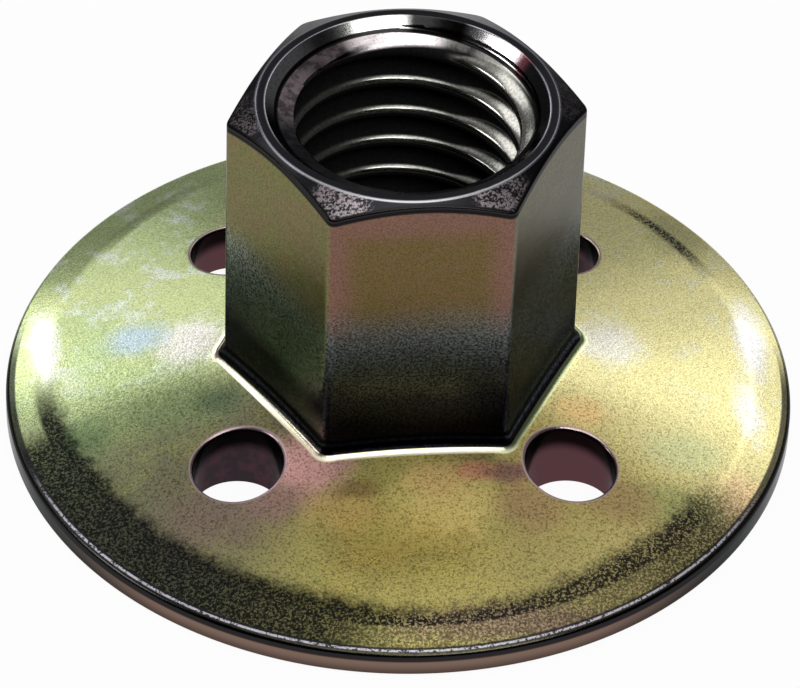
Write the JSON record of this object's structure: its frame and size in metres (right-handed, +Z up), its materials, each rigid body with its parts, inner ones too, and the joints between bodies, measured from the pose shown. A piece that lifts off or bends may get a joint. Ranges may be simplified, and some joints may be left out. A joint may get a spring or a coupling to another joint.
{
  "type": "sanding pad lock nut",
  "caption": "Flanged hexagon lock nut with a wide coned flange, a tapped bore and a ring of spanner holes, for clamping a sanding disc to a grinder.",
  "frame": {"origin": "centre of the flange's flat underside, where the thread's axis meets it", "axes": "+Z up the thread's axis towards the hexagon's end face, +X through a corner of the hexagon"},
  "size_m": [0.048, 0.048, 0.0236],
  "materials": {
    "nut_steel": "forged steel, zinc plated with an iridescent yellow chromate, semi-gloss with a fine grain"
  },
  "bodies": {
    "root": {"lock_nut": "nut_steel"}
  },
  "joints": []
}
